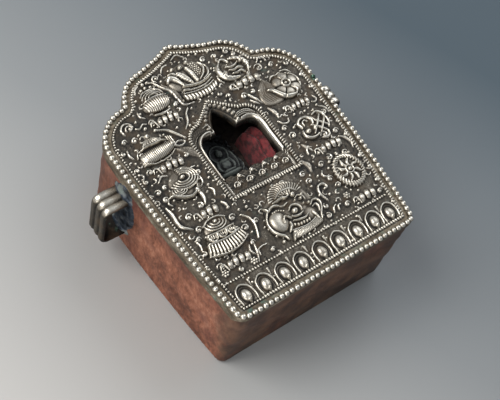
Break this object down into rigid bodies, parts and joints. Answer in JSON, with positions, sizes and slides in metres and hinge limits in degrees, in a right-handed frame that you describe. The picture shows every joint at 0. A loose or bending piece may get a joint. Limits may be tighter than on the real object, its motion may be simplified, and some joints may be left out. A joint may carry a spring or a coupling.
{
  "type": "ghau amulet box",
  "caption": "Travelling shrine box with a tall copper case, a chased silver front with a trefoil window, beaded rim, side strap loops, and a back tray holding a votive plaque.",
  "frame": {"origin": "centre of the flat back, on the surface that the box lies on", "axes": "+Z out of the chased front, +Y from the flat foot up to the apex, +X to the right seen from the front"},
  "size_m": [0.1176, 0.1178, 0.0486],
  "materials": {
    "aged_copper": "aged red-brown copper with purple and near-black blotches and worn pale edges",
    "chased_silver": "chased silver, rubbed bright on the high points over a black-brown tarnished ground",
    "silver_wire": "worn silver wire with dark tarnish in the creases",
    "grey_solder": "dull grey solder and sheet, smeared and tarnished",
    "dark_clay": "near-black rubbed clay with a slight sheen",
    "crimson_cloth": "matt crimson cotton, plain weave",
    "packing_cloth": "dark red-brown folded cotton"
  },
  "bodies": {
    "back_tray": {"back_plate": "aged_copper", "tray_wall": "aged_copper", "cloth_pad": "packing_cloth", "votive_plaque": "dark_clay", "cloth_wrap": "crimson_cloth"},
    "front_case": {"case_wall": "aged_copper", "face_plate": "chased_silver", "parasol": "chased_silver", "golden_fish": "chased_silver", "treasure_vase": "chased_silver", "lotus_flower": "chased_silver", "conch_shell": "chased_silver", "endless_knot": "chased_silver", "victory_banner": "chased_silver", "dharma_wheel": "chased_silver", "jewel_crest": "chased_silver", "guardian_mask": "chased_silver", "emblem_seats": "chased_silver", "leaf_sprays": "chased_silver", "scroll_curls": "chased_silver", "lotus_petals": "chased_silver", "niche_frame": "chased_silver", "niche_sill": "chased_silver", "rim_band": "silver_wire", "edge_beads": "silver_wire", "inner_beads": "silver_wire", "window_wire": "silver_wire", "band_wire": "silver_wire", "strap_loop_left": "silver_wire", "strap_loop_right": "silver_wire", "loop_base_left": "grey_solder", "loop_base_right": "grey_solder"}
  },
  "joints": [
    {"name": "case_slide", "type": "slide", "parent": "back_tray", "child": "front_case", "axis": [0, 0, 1], "range_m": [0, 0.05]}
  ]
}
